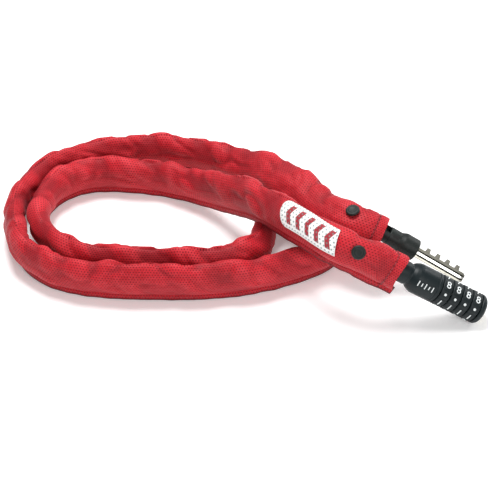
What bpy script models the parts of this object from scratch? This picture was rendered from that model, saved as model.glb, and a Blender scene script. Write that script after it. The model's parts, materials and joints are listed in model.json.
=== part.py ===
"""Chain lock: a four dial lock barrel and a toothed blade, joined by a chain in a padded sleeve.

Lengths are in millimetres until they reach Blender, which gets metres.
"""
import math

import bmesh
import bpy
import numpy as np
from mathutils import Matrix, Vector

MM = 0.001
GAP = 0.3
OBJECT = "chain_lock"

# ---- where the two metal ends lie; the origin is on the floor below the middle of both
ORIGIN = Vector((126.65, -61.3, 0.0))
LOCK_AXIS = Vector((0.86, -0.065, -0.50)).normalized()
LOCK_TIP = Vector((163.0, -80.7, 7.98))
LOCK_LENGTH = 62.0
PIN_AXIS = Vector((0.866, -0.2, -0.47)).normalized()
PIN_FACE = Vector((119.5, -44.4, 31.0))
TEETH_TOWARDS = Vector((0.49, 0.56, 0.667))

# ---- sleeve: an oval tube whose two edges are sewn together into a flange below it
TUBE_HALF_HEIGHT = 13.0
SLEEVE_WALL = 0.9
SEAM_DROP = 19.0
FLANGE_HALF = 1.1
OVAL_SIDES = 10
RING_STEP = 13.0
STUD_ON_LOCK_END = 34.0
STUD_ON_PIN_END = 24.0
LABEL_FROM_LOCK_END = 50.0
LABEL_LENGTH = 39.0
LABEL_HALF_HEIGHT = 8.0
LABEL_THICKNESS = 0.6
STUD_RADIUS = 5.0
STUD_POST = 1.2

# ---- chain
LINKS = 59
WIRE = 1.9
LINK_HALF_WIDTH = 5.2
LINK_SLACK = 1.7
LINK_WELD = 0.3
TWIST = 45.0
TWIST_FADE = 3.0
CLEVIS_PIN = 1.9
LOCK_JOINT = -17.0
PIN_JOINT = -30.0

# ---- lock barrel, along its axis from the shoulder (0) to the tip
NECK_RADIUS = 8.0
BARREL_RADIUS = 10.75
EAR_RADIUS = 6.7
DIALS = 4
DIALS_START = 25.0
DIAL_PITCH = 8.0
DIAL_GAP = 0.25
CODE_RADIUS = 7.6
CODE_BORE = 5.3
CODE_RECESS = 6.8
SPINDLE_RADIUS = 5.0
SPINDLE_BORE = 3.7
KEYWAY = 3.6
PLATE_RADIUS = 6.6
EJECTOR_FACE = 24.5
SIDES = 24

# ---- pin end, along its axis from the face that the blade comes out of (0)
PIN_RADIUS = 8.0
PIN_NECK = 6.5
PIN_EAR = 6.2
BLADE_LENGTH = 39.5
BLADE_ROOT = 9.6
BLADE_HALF_HEIGHT = 3.2
BLADE_HALF = 1.5
TOOTH_TOP = 6.1
TOOTH_LENGTH = 2.8

# ---- the sleeve's way from the lock to the pin: x, y, z, lean in degrees, half thickness
LAID = SEAM_DROP + 0.3
LOCK_SHOULDER = LOCK_TIP - LOCK_LENGTH * LOCK_AXIS
LOCK_MOUTH = LOCK_SHOULDER - 4.0 * LOCK_AXIS + Vector((-1.3, 0.1, -2.2))
PIN_MOUTH = PIN_FACE - 24.5 * PIN_AXIS + Vector((-1.2, -2.0, -1.4))
ROUTE = [
    (*LOCK_MOUTH, 2, 11.0),
    (*(LOCK_MOUTH - 15.0 * LOCK_AXIS), 3, 10.2),
    (76, -73.5, 54.0, 4, 10.3),
    (61, -66.0, 56.5, 6, 10.2),
    (46, -53.0, 57.0, 6, 8.4),
    (30, -36.0, 55.4, 5, 8.0),
    (14, -14.0, 50.0, 4, 8.0),
    (-2, 8.0, 40.5, 3, 8.0),
    (-19, 28.0, 29.5, 2, 7.8),
    (-37, 44.0, 22.0, 0, 7.7),
    (-58, 55.0, LAID, 0, 7.7),
    (-84, 60.0, LAID, 0, 7.7),
    (-111, 61.0, LAID, 0, 8.4),
    (-132, 52.5, LAID, 0, 8.5),
    (-145, 34.0, LAID, 0, 8.3),
    (-149, 12.0, LAID, 0, 8.2),
    (-143, -11.0, LAID, 0, 8.3),
    (-127, -29.0, LAID, 0, 8.1),
    (-100, -40.5, LAID, 0, 7.6),
    (-70, -43.0, LAID, 0, 7.5),
    (-40, -43.5, LAID, 0, 7.6),
    (-16, -42.5, LAID, 0, 8.4),
    (2, -34.5, LAID, 0, 9.0),
    (12, -20.0, LAID, 0, 9.0),
    (16, -3.0, LAID, 0, 8.8),
    (24, 14.5, LAID, 0, 9.3),
    (43, 24.0, LAID, 0, 9.3),
    (61.5, 16.5, LAID, 0, 9.4),
    (71, -1.0, LAID, 0, 9.4),
    (67.5, -20.0, LAID, 0, 9.5),
    (54, -34.0, LAID, 0, 8.8),
    (34, -45.0, LAID, 0, 7.8),
    (8, -54.5, LAID, 0, 7.6),
    (-22, -60.0, LAID, 0, 7.5),
    (-62, -61.0, LAID, 0, 7.5),
    (-102, -58.5, LAID, 0, 7.6),
    (-138, -47.0, LAID, 0, 7.8),
    (-159, -25.0, LAID, 0, 7.9),
    (-166.5, 5.0, LAID, 0, 7.8),
    (-163, 36.0, LAID, 0, 7.8),
    (-147, 63.0, LAID, 0, 7.8),
    (-120, 80.0, LAID, 0, 7.7),
    (-84, 89.0, LAID, 0, 7.7),
    (-48, 88.0, LAID, 0, 7.7),
    (-20, 77.0, 20.0, 8, 7.8),
    (3, 58.0, 27.0, 24, 7.9),
    (20, 38.0, 36.0, 50, 8.0),
    (31, 24.0, 41.5, 66, 8.0),
    (42, 9.5, 43.0, 70, 8.0),
    (54, -10.0, 44.3, 66, 8.4),
    (64, -24.0, 45.8, 62, 10.2),
    (75, -33.0, 47.2, 59, 10.4),
    (*(PIN_MOUTH - 12.0 * PIN_AXIS), 58, 9.8),
    (*PIN_MOUTH, 58, 9.2),
]


# ------------------------------------------------------------------ scene helpers

def clear_scene():
    for obj in list(bpy.data.objects):
        bpy.data.objects.remove(obj, do_unlink=True)
    for name in (OBJECT, "cutters"):
        bpy.context.scene.collection.children.link(bpy.data.collections.new(name))


def material(name, colour, roughness, metallic=0.0):
    made = bpy.data.materials.get(name)
    if made is None:
        made = bpy.data.materials.new(name)
        made.use_nodes = True
        made.diffuse_color = (*colour, 1.0)
        shader = made.node_tree.nodes["Principled BSDF"]
        shader.inputs["Base Color"].default_value = (*colour, 1.0)
        shader.inputs["Roughness"].default_value = roughness
        shader.inputs["Metallic"].default_value = metallic
    return made


def sleeve_fabric():
    return material("sleeve_fabric", (0.55, 0.02, 0.04), 0.75)


def label_fabric():
    return material("label_fabric", (0.85, 0.86, 0.86), 0.7)


def dark_metal():
    return material("dark_metal", (0.022, 0.036, 0.04), 0.35, 0.6)


def black_plastic():
    return material("black_plastic", (0.02, 0.022, 0.022), 0.45)


def bright_steel():
    return material("bright_steel", (0.6, 0.6, 0.57), 0.25, 1.0)


def chain_steel():
    return material("chain_steel", (0.35, 0.35, 0.36), 0.4, 1.0)


def brass():
    return material("brass", (0.72, 0.56, 0.3), 0.35, 1.0)


def place(name, data, finish, matrix=None, parent=None):
    """Links a piece of the lock, in metres, where matrix says within its parent."""
    obj = bpy.data.objects.new(name, data)
    bpy.data.collections[OBJECT].objects.link(obj)
    data.materials.append(finish)
    if parent:
        obj.parent = parent
    if matrix:
        obj.matrix_local = matrix
    return obj


def as_cutter(obj):
    bpy.data.collections[OBJECT].objects.unlink(obj)
    bpy.data.collections["cutters"].objects.link(obj)
    obj.hide_render = True
    obj.display_type = "WIRE"
    return obj


def boolean(obj, other, operation="DIFFERENCE"):
    modifier = obj.modifiers.new(f"{operation.lower()}_{other.name}", "BOOLEAN")
    modifier.operation = operation
    modifier.object = other


def empty(name, matrix):
    obj = bpy.data.objects.new(name, None)
    bpy.data.collections[OBJECT].objects.link(obj)
    obj.empty_display_size = 0.01
    obj.matrix_world = matrix
    return obj


def turned(name, profile, finish, parent=None, matrix=None, closed=False, steps=SIDES):
    """Turns a profile of (radius, height) points about Z; it runs down its outer side."""
    mesh = bpy.data.meshes.new(name)
    points = [(r * MM, 0.0, z * MM) for r, z in profile]
    edges = [(i, i + 1) for i in range(len(points) - 1)]
    if closed:
        edges.append((len(points) - 1, 0))
    mesh.from_pydata(points, edges, [])
    obj = place(name, mesh, finish, matrix, parent)
    screw = obj.modifiers.new("turn", "SCREW")
    screw.steps = steps
    screw.render_steps = steps
    screw.use_merge_vertices = True
    screw.merge_threshold = 0.00002
    screw.use_smooth_shade = False
    return obj


def box(name, low, high, finish, parent=None, matrix=None):
    mesh = bpy.data.meshes.new(name)
    builder = bmesh.new()
    size = [(b - a) * MM for a, b in zip(low, high)]
    middle = [(a + b) / 2 * MM for a, b in zip(low, high)]
    move = Matrix.Translation(middle) @ Matrix.Diagonal((*size, 1.0))
    bmesh.ops.create_cube(builder, size=1.0, matrix=move)
    builder.to_mesh(mesh)
    builder.free()
    return place(name, mesh, finish, matrix, parent)


def rod(name, radius, low, high, finish, parent=None, matrix=None, sides=16):
    """A cylinder along Z from low to high."""
    mesh = bpy.data.meshes.new(name)
    builder = bmesh.new()
    bmesh.ops.create_cone(
        builder, cap_ends=True, segments=sides, radius1=radius * MM, radius2=radius * MM,
        depth=(high - low) * MM, matrix=Matrix.Translation((0, 0, (low + high) / 2 * MM)))
    builder.to_mesh(mesh)
    builder.free()
    return place(name, mesh, finish, matrix, parent)


def wire(name, points, radius, finish, closed=False, resolution=0, parent=None, matrix=None):
    """A round wire along points, made a mesh with welded caps so that it can be joined."""
    curve = bpy.data.curves.new(name, "CURVE")
    curve.dimensions = "3D"
    curve.bevel_depth = radius * MM
    curve.bevel_resolution = resolution
    curve.use_fill_caps = not closed
    spline = curve.splines.new("POLY")
    spline.points.add(len(points) - 1)
    for point, place_at in zip(spline.points, points):
        point.co = (*(Vector(place_at) * MM), 1.0)
    spline.use_cyclic_u = closed
    guide = bpy.data.objects.new(name, curve)
    bpy.data.collections[OBJECT].objects.link(guide)
    evaluated = guide.evaluated_get(bpy.context.evaluated_depsgraph_get())
    mesh = bpy.data.meshes.new_from_object(evaluated)
    bpy.data.objects.remove(guide)
    builder = bmesh.new()
    builder.from_mesh(mesh)
    bmesh.ops.remove_doubles(builder, verts=builder.verts, dist=0.00001)
    bmesh.ops.recalc_face_normals(builder, faces=builder.faces)
    builder.to_mesh(mesh)
    builder.free()
    mesh.materials.clear()
    return place(name, mesh, finish, matrix, parent)


def helix(radius, low, high, turns, per_turn=12):
    count = int(turns * per_turn)
    angles = [2 * math.pi * i / per_turn for i in range(count + 1)]
    rise = (high - low) / count
    return [(radius * math.cos(a), radius * math.sin(a), low + rise * i) for i, a in enumerate(angles)]


def axes_matrix(x, y, z, origin):
    """A matrix in metres whose columns are the unit vectors x, y and z, at origin in millimetres."""
    rows = [[x[i], y[i], z[i], (origin[i] - ORIGIN[i]) * MM] for i in range(3)]
    return Matrix((*rows, (0, 0, 0, 1)))


def frame_with_x(z, x_hint, origin):
    y = z.cross(x_hint).normalized()
    return axes_matrix(y.cross(z), y, z, origin)


# ------------------------------------------------------------------ the route as a smooth curve

def smooth_curve(rows, step=1.0):
    """Samples a natural cubic spline through rows about every step; gives distances and values."""
    knots = np.array(rows, float)
    spans = np.linalg.norm(np.diff(knots[:, :3], axis=0), axis=1)
    along = np.concatenate([[0.0], np.cumsum(spans)])
    count = len(knots)
    system = np.eye(count)
    right = np.zeros_like(knots)
    for i in range(1, count - 1):
        before, after = spans[i - 1], spans[i]
        system[i, i - 1:i + 2] = before, 2 * (before + after), after
        rise = (knots[i + 1] - knots[i]) / after - (knots[i] - knots[i - 1]) / before
        right[i] = 6 * rise
    bend = np.linalg.solve(system, right)
    values = []
    for at in np.linspace(0, along[-1], int(along[-1] / step)):
        i = min(int(np.searchsorted(along, at, "right")) - 1, count - 2)
        span, u = spans[i], at - along[i]
        v = span - u
        values.append(
            (bend[i] * v**3 + bend[i + 1] * u**3) / (6 * span)
            + (knots[i] / span - bend[i] * span / 6) * v
            + (knots[i + 1] / span - bend[i + 1] * span / 6) * u)
    values = np.array(values)
    steps = np.linalg.norm(np.diff(values[:, :3], axis=0), axis=1)
    return np.concatenate([[0.0], np.cumsum(steps)]), values


class Way:
    """A smooth way through space that knows its length and the strip's attitude at each distance."""

    def __init__(self, rows):
        self.distances, self.values = smooth_curve(rows)
        self.length = float(self.distances[-1])

    def at(self, distance):
        return [float(np.interp(distance, self.distances, column)) for column in self.values.T]

    def point(self, distance):
        return Vector(self.at(distance)[:3])

    def attitude(self, distance):
        """The forward, up and sideways unit vectors, with up leaning back by the lean."""
        reach = 2.0
        ahead = self.point(min(distance + reach, self.length))
        behind = self.point(max(distance - reach, 0.0))
        forward = (ahead - behind).normalized()
        up = (Vector((0, 0, 1)) - forward.z * forward).normalized()
        side = forward.cross(up)
        lean = math.radians(self.at(distance)[3]) * (1 if side.y > 0 else -1)
        up = up * math.cos(lean) + side * math.sin(lean)
        return forward, up, forward.cross(up)


# ------------------------------------------------------------------ sleeve, label and studs

def section(half, half_height=TUBE_HALF_HEIGHT):
    """The sleeve's section as (up, sideways) pairs: the outer outline and the inner one."""
    gap = 2 * math.asin(1.4 / half)
    turns = [gap / 2 + (2 * math.pi - gap) * i / (OVAL_SIDES - 1) for i in range(OVAL_SIDES)]
    oval = [(-half_height * math.cos(t), half * math.sin(t)) for t in turns]
    outer = [(-SEAM_DROP, FLANGE_HALF), *oval, (-SEAM_DROP, -FLANGE_HALF)]
    inner_half, inner_height = half - SLEEVE_WALL, half_height - SLEEVE_WALL
    low = turns[0] / 3
    inner_turns = [low, *[t + (0.04 if i == 0 else -0.04 if i == OVAL_SIDES - 1 else 0)
                          for i, t in enumerate(turns)], 2 * math.pi - low]
    inner = [(-inner_height * math.cos(t), inner_half * math.sin(t)) for t in inner_turns]
    return outer, inner


def ring_distances(way):
    count = round(way.length / RING_STEP)
    return [way.length * i / count for i in range(count + 1)]


def outline_at(way, distance, outline):
    forward, up, side = way.attitude(distance)
    centre = way.point(distance)
    return [(centre - ORIGIN + up * h + side * n) * MM for h, n in outline]


def loft(name, rings, finish, closed_ends):
    """Joins equal rings of points into one closed body: a tube with a wall, or a solid bar."""
    mesh = bpy.data.meshes.new(name)
    builder = bmesh.new()
    made = [[builder.verts.new(p) for p in ring] for ring in rings]
    count = len(made[0])
    for ring, following in zip(made, made[1:]):
        for i in range(count):
            j = (i + 1) % count
            builder.faces.new((ring[i], ring[j], following[j], following[i]))
    if closed_ends:
        builder.faces.new(made[0])
        builder.faces.new(made[-1])
    else:
        for i in range(count):
            j = (i + 1) % count
            builder.faces.new((made[-1][i], made[-1][j], made[0][j], made[0][i]))
    bmesh.ops.recalc_face_normals(builder, faces=builder.faces)
    builder.to_mesh(mesh)
    builder.free()
    return place(name, mesh, finish)


def make_sleeve(way):
    outer_rings, inner_rings = [], []
    for distance in ring_distances(way):
        outer, inner = section(way.at(distance)[4])
        outer_rings.append(outline_at(way, distance, outer))
        inner_rings.append(outline_at(way, distance, inner))
    return loft("sleeve", outer_rings + inner_rings[::-1], sleeve_fabric(), closed_ends=False)


def front_sign(way, distance):
    """Which sideways direction faces the front, -Y."""
    return 1 if way.attitude(distance)[2].y < 0 else -1


def make_label(way):
    """A patch sewn on the front of the sleeve, three rings long, that follows its surface."""
    rings = []
    half_angle = math.asin(LABEL_HALF_HEIGHT / TUBE_HALF_HEIGHT)
    angles = [half_angle * t for t in (-1, -0.5, 0, 0.5, 1)]
    near = [d for d in ring_distances(way)
            if LABEL_FROM_LOCK_END - 7 < d < LABEL_FROM_LOCK_END + LABEL_LENGTH + 6]
    for distance in near[:4]:
        half = way.at(distance)[4] + GAP
        sign = front_sign(way, distance)
        ring = [(TUBE_HALF_HEIGHT * math.sin(a), sign * half * math.cos(a)) for a in angles]
        half += LABEL_THICKNESS
        ring += [(TUBE_HALF_HEIGHT * math.sin(a), sign * half * math.cos(a)) for a in reversed(angles)]
        rings.append(outline_at(way, distance, ring))
    return loft("label_patch", rings, label_fabric(), closed_ends=True)


def make_stud(number, way, distance, sleeve):
    """A rivet: its cap and post in front of the sleeve's wall, its washer behind the wall."""
    half = way.at(distance)[4]
    sign = front_sign(way, distance)
    forward, up, side = way.attitude(distance)
    matrix = axes_matrix(forward, (side * sign).cross(forward), side * sign, way.point(distance))
    base = half + GAP
    washer_face = half - SLEEVE_WALL - 1.6
    crown = [(0, base + 2.2), (2.4, base + 2.0), (4.2, base + 1.3), (STUD_RADIUS, base + 0.6)]
    stem = [(STUD_RADIUS, base), (STUD_POST, base), (STUD_POST, washer_face - 0.6), (0, washer_face - 0.6)]
    turned(f"stud_cap_{number}", crown + stem, black_plastic(), matrix=matrix, steps=20)
    bore = STUD_POST + 0.3
    washer = [(3.0, washer_face), (3.0, washer_face - 0.6), (bore, washer_face - 0.6), (bore, washer_face)]
    turned(f"stud_washer_{number}", washer, chain_steel(), matrix=matrix, closed=True, steps=16)
    drill = rod(f"stud_drill_{number}", bore, half - 4, half + 3, sleeve_fabric(), matrix=matrix, sides=12)
    boolean(sleeve, as_cutter(drill))


# ------------------------------------------------------------------ chain

def chain_joints(way):
    """Points on the way, equally far apart in a straight line, from its start to its end."""

    def walk(pitch):
        places = [0.0]
        while len(places) <= LINKS:
            here = way.point(places[-1])
            low, high = places[-1], places[-1] + 2 * pitch
            for _ in range(30):
                middle = (low + high) / 2
                if (way.point(middle) - here).length < pitch and middle < way.length:
                    low = middle
                else:
                    high = middle
            places.append(low)
            if low >= way.length - 0.001:
                break
        return places

    short, long = way.length / LINKS * 0.9, way.length / LINKS
    for _ in range(30):
        pitch = (short + long) / 2
        if len(walk(pitch)) <= LINKS:
            long = pitch
        elif walk(pitch)[-1] >= way.length - 0.001:
            long = pitch
        else:
            short = pitch
    return walk(short)


def link_outline(low, high):
    """A long link lying in the YZ plane: its wire's centre line from low to high along Z."""
    ends = []
    for centre, start in ((high - LINK_HALF_WIDTH, 0.0), (low + LINK_HALF_WIDTH, math.pi)):
        for i in range(5):
            turn = start + math.pi * i / 4
            ends.append((0, LINK_HALF_WIDTH * math.cos(turn), centre + LINK_HALF_WIDTH * math.sin(turn)))
    return ends


def link_frame(way, start, end, twist):
    here, there = way.point(start), way.point(end)
    along = (there - here).normalized()
    forward, up, side = way.attitude((start + end) / 2)
    turn = math.radians(twist)
    across = up * math.cos(turn) + side * math.sin(turn)
    across = (across - across.dot(along) * along).normalized()
    return axes_matrix(across.cross(along), across, along, here), (there - here).length


def make_chain(way):
    """Links in welded pairs, each pair free of the next; gives the first and last link's matrix."""
    places = chain_joints(way)
    last = LINKS - 1
    tight, loose = WIRE - LINK_WELD / 2, WIRE + LINK_SLACK / 2
    clasp = WIRE + CLEVIS_PIN + GAP
    end_lean = way.at(way.length)[3]
    frames = []
    first_of_pair = None
    for i in range(LINKS):
        twist = TWIST if i % 2 == 0 else -TWIST
        twist += TWIST * math.exp(-i / TWIST_FADE)
        twist += (end_lean - TWIST) * math.exp(-(last - i) / TWIST_FADE)
        matrix, length = link_frame(way, places[i], places[i + 1], twist)
        frames.append(matrix)
        opens_pair = i % 2 == 0
        before = clasp if i == 0 else (loose if opens_pair else tight)
        after = clasp if i == last else (tight if opens_pair else loose)
        name = f"chain_links_{i // 2 + 1:02d}" if opens_pair else f"second_link_{i // 2 + 1:02d}"
        link = wire(name, link_outline(-before, length + after), WIRE, chain_steel(),
                    closed=True, matrix=matrix)
        if opens_pair:
            first_of_pair = link
        else:
            boolean(first_of_pair, as_cutter(link), "UNION")
    return frames[0], frames[-1]


def clevis(name, body, parent, joint, link_matrix, reach):
    """Cuts a fork for the last link into body and puts its cross pin through both ears."""
    x = parent.matrix_world.to_3x3().inverted() @ link_matrix.to_3x3().col[0]
    turn = Matrix.Rotation(math.atan2(x.y, x.x), 4, "Z")
    slot = box(f"{name}_slot", (-3.0, -12, joint - 8), (3.0, 12, joint + reach), chain_steel(),
               parent, turn)
    boolean(body, as_cutter(slot))
    across = turn @ Matrix.Translation((0, 0, joint * MM)) @ Matrix.Rotation(math.pi / 2, 4, "Y")
    hole = rod(f"{name}_hole", CLEVIS_PIN + GAP, -12, 12, chain_steel(), parent, across)
    boolean(body, as_cutter(hole))
    rod(name, CLEVIS_PIN, -5.6, 5.6, chain_steel(), parent, across)


# ------------------------------------------------------------------ lock barrel

def make_lock_shell(parent):
    front = DIALS_START - DIAL_GAP
    profile = [
        (0, 10.0), (CODE_BORE, 10.0), (CODE_BORE, 16.0), (8.2, 16.0), (8.2, front),
        (BARREL_RADIUS - 0.3, front), (BARREL_RADIUS, front - 0.4), (BARREL_RADIUS, 4.4), (9.7, 1.6),
        (NECK_RADIUS, 0.0), (NECK_RADIUS, -7.5), (EAR_RADIUS, -8.6), (EAR_RADIUS, -22.0), (0, -22.0)]
    return turned("lock_shell", profile, dark_metal(), parent)


def make_grub_screw(shell, parent):
    """Pins the spindle's root from below, in a hole through the shell's wall."""
    down = Matrix.Translation((0, 0, 13 * MM)) @ Matrix.Rotation(math.pi / 2, 4, "X")
    hole = rod("grub_screw_hole", 1.6, 4.6, 12, chain_steel(), parent, down, sides=12)
    boolean(shell, as_cutter(hole))
    rod("grub_screw", 1.3, SPINDLE_RADIUS + GAP, BARREL_RADIUS - 0.5, chain_steel(), parent, down, sides=12)


def make_spindle(parent):
    """The slotted tube that the code rings turn on and the blade slides into."""
    front = 58.7
    profile = [(0, 12.6), (SPINDLE_BORE, 12.6), (SPINDLE_BORE, front), (SPINDLE_RADIUS, front),
               (SPINDLE_RADIUS, 10.3), (0, 10.3)]
    spindle = turned("spindle", profile, bright_steel(), parent)
    slot = box("spindle_slot", (-KEYWAY / 2, 1.0, 26.5), (KEYWAY / 2, 8, 60), bright_steel(), parent)
    boolean(spindle, as_cutter(slot))


def dial_span(number):
    start = DIALS_START + DIAL_PITCH * (number - 1)
    return start + DIAL_GAP, start + DIAL_PITCH - DIAL_GAP


def make_number_ring(number, parent):
    low, high = dial_span(number)
    inner, edge = CODE_RADIUS + GAP, 0.35
    profile = [(inner, high), (BARREL_RADIUS - edge, high), (BARREL_RADIUS, high - edge),
               (BARREL_RADIUS, low + edge), (BARREL_RADIUS - edge, low), (inner, low)]
    turned(f"number_ring_{number}", profile, dark_metal(), parent, closed=True, steps=27)


def make_code_ring(number, parent):
    """Lips at both ends hold a tooth in the recess until the gate through them is lined up."""
    low, high = dial_span(number)
    low, high = low + 0.15, high - 0.15
    profile = [(CODE_BORE, high), (CODE_RADIUS, high), (CODE_RADIUS, low), (CODE_BORE, low),
               (CODE_BORE, low + 1.6), (CODE_RECESS, low + 1.6), (CODE_RECESS, high - 1.2),
               (CODE_BORE, high - 1.2)]
    ring = turned(f"code_ring_{number}", profile, bright_steel(), parent, closed=True, steps=24)
    gate = box(f"code_gate_{number}", (-KEYWAY / 2, 0, low - 1), (KEYWAY / 2, 6.5, high + 1),
               bright_steel(), parent)
    boolean(ring, as_cutter(gate))


def make_end_cap(parent):
    """Holds the spindle's front end; its pocket takes the keyway plate at the tip."""
    back, pocket = 57.25, 60.4
    rim = BARREL_RADIUS - PLATE_RADIUS - 2 * GAP
    curve = [(BARREL_RADIUS - rim + rim * math.sin(t), LOCK_LENGTH - rim + rim * math.cos(t))
             for t in (math.pi * i / 10 for i in range(6))]
    profile = [(SPINDLE_BORE + 0.3, 59.1), (SPINDLE_BORE + 0.3, pocket), (PLATE_RADIUS + GAP, pocket),
               (PLATE_RADIUS + GAP, LOCK_LENGTH), *curve, (BARREL_RADIUS, back),
               (SPINDLE_RADIUS + GAP, back), (SPINDLE_RADIUS + GAP, 59.1)]
    cap = turned("end_cap", profile, dark_metal(), parent, closed=True)
    gate = box("end_cap_gate", (-KEYWAY / 2, 1, 50), (KEYWAY / 2, TOOTH_TOP + 0.4, 61), dark_metal(), parent)
    boolean(cap, as_cutter(gate))


def make_keyway_plate(parent):
    plate = rod("keyway_plate", PLATE_RADIUS, 60.4 + GAP, LOCK_LENGTH, brass(), parent, sides=24)
    slot = box("keyway_slot", (-KEYWAY / 2, -BLADE_HALF_HEIGHT - 0.4, 58),
               (KEYWAY / 2, PLATE_RADIUS + 1, 64), brass(), parent)
    boolean(plate, as_cutter(slot))


def make_springs(parent):
    """The detent spring presses on the first code ring; the ejector's spring stops short of it."""
    detent = helix(6.6, 17.2, 23.8, 3)
    wire("detent_spring", detent, 0.5, bright_steel(), parent=parent)
    ejector = helix(2.6, 13.4, 18.2, 3, per_turn=10)
    wire("ejector_spring", ejector, 0.4, bright_steel(), parent=parent)


def make_ejector(parent):
    """The plunger that pushes the blade's tip out when the code is set."""
    rod("ejector_plunger", SPINDLE_BORE - GAP, EJECTOR_FACE - 3, EJECTOR_FACE, bright_steel(), parent)


def make_lock(first_link):
    towards_teeth = Vector((0, 0, 1)).cross(LOCK_AXIS)
    matrix = frame_with_x(LOCK_AXIS, towards_teeth, LOCK_SHOULDER)
    lock = empty("lock_axis", matrix)
    bpy.context.view_layer.update()
    shell = make_lock_shell(lock)
    make_grub_screw(shell, lock)
    make_spindle(lock)
    for number in range(1, DIALS + 1):
        make_number_ring(number, lock)
        make_code_ring(number, lock)
    make_end_cap(lock)
    make_keyway_plate(lock)
    make_springs(lock)
    make_ejector(lock)
    clevis("lock_clevis_pin", shell, lock, LOCK_JOINT, first_link, 7.6)


# ------------------------------------------------------------------ pin end

def make_pin_cap(parent):
    neck = [(PIN_NECK, -13.6), (7.0, -12.9), (7.6, -12.3), (PIN_RADIUS, -11.4)]
    profile = [(0, 0), (PIN_RADIUS - 0.6, 0), (PIN_RADIUS, -0.6), *neck[::-1], (PIN_NECK, -22.5),
               (PIN_EAR, -23.3), (PIN_EAR, -35.0), (0, -35.0)]
    cap = turned("pin_cap", profile, black_plastic(), parent)
    socket = box("blade_socket", (-BLADE_HALF - GAP, -BLADE_HALF_HEIGHT - GAP, -BLADE_ROOT - GAP),
                 (BLADE_HALF + GAP, BLADE_HALF_HEIGHT + GAP, 2), black_plastic(), parent)
    boolean(cap, as_cutter(socket))
    return cap


def blade_outline():
    """The blade's side: a bar with teeth a dial's pitch apart and a bevelled tip."""
    top, tip = BLADE_HALF_HEIGHT, BLADE_LENGTH
    points = [(-BLADE_ROOT, -top), (tip - 1.8, -top), (tip, -1.6), (tip, 1.6), (tip - 1.8, top)]
    for number in range(DIALS, 0, -1):
        middle = DIAL_PITCH * number
        half = TOOTH_LENGTH / 2
        points += [(middle + half, top), (middle + half - 0.5, TOOTH_TOP),
                   (middle - half, TOOTH_TOP), (middle - half, top)]
    points.append((-BLADE_ROOT, top))
    return points


def make_blade(parent):
    mesh = bpy.data.meshes.new("locking_blade")
    builder = bmesh.new()
    face = builder.faces.new([builder.verts.new((-BLADE_HALF * MM, y * MM, z * MM))
                              for z, y in blade_outline()])
    grown = bmesh.ops.extrude_face_region(builder, geom=[face])
    moved = [v for v in grown["geom"] if isinstance(v, bmesh.types.BMVert)]
    bmesh.ops.translate(builder, verts=moved, vec=(2 * BLADE_HALF * MM, 0, 0))
    bmesh.ops.recalc_face_normals(builder, faces=builder.faces)
    builder.to_mesh(mesh)
    builder.free()
    blade = place("locking_blade", mesh, bright_steel(), parent=parent)
    for side in (-1, 1):
        for height in (-1.7, 1.7):
            low = (side * 1.05 if side > 0 else -3, height - 0.5, 1.5)
            high = (3 if side > 0 else side * 1.05, height + 0.5, BLADE_LENGTH - 2.5)
            groove = box(f"blade_groove_{side}_{height}", low, high, bright_steel(), parent)
            boolean(blade, as_cutter(groove))
    return blade


def make_pin_end(last_link):
    matrix = frame_with_x(PIN_AXIS, TEETH_TOWARDS.cross(PIN_AXIS), PIN_FACE)
    pin = empty("pin_axis", matrix)
    bpy.context.view_layer.update()
    cap = make_pin_cap(pin)
    blade = make_blade(pin)
    across = Matrix.Translation((0, 0, -BLADE_ROOT / 2 * MM)) @ Matrix.Rotation(math.pi / 2, 4, "Y")
    hole = rod("blade_rivet_hole", 1.5, -12, 12, chain_steel(), pin, across, sides=12)
    boolean(cap, as_cutter(hole))
    boolean(blade, hole)
    rod("blade_rivet", 1.2, -7.6, 7.6, chain_steel(), pin, across, sides=12)
    clevis("pin_clevis_pin", cap, pin, PIN_JOINT, last_link, 7.1)


# ------------------------------------------------------------------ the whole lock

def chain_rows():
    """The chain follows the sleeve, but runs straight into each metal end."""
    lock_joint = LOCK_SHOULDER + LOCK_JOINT * LOCK_AXIS
    pin_joint = PIN_FACE + PIN_JOINT * PIN_AXIS
    start = [(*lock_joint, 2, 0), (*(lock_joint - 21.0 * LOCK_AXIS), 4, 0)]
    return [*start, *ROUTE[3:-2], (*pin_joint, ROUTE[-1][3], 0)]


def main():
    clear_scene()
    sleeve_way = Way(ROUTE)
    sleeve = make_sleeve(sleeve_way)
    make_label(sleeve_way)
    make_stud(1, sleeve_way, STUD_ON_LOCK_END, sleeve)
    make_stud(2, sleeve_way, sleeve_way.length - STUD_ON_PIN_END, sleeve)
    first_link, last_link = make_chain(Way(chain_rows()))
    make_lock(first_link)
    make_pin_end(last_link)


main()
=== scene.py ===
import json
import math

import bmesh
import bpy
import numpy as np
from mathutils import Matrix, Vector, noise


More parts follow.
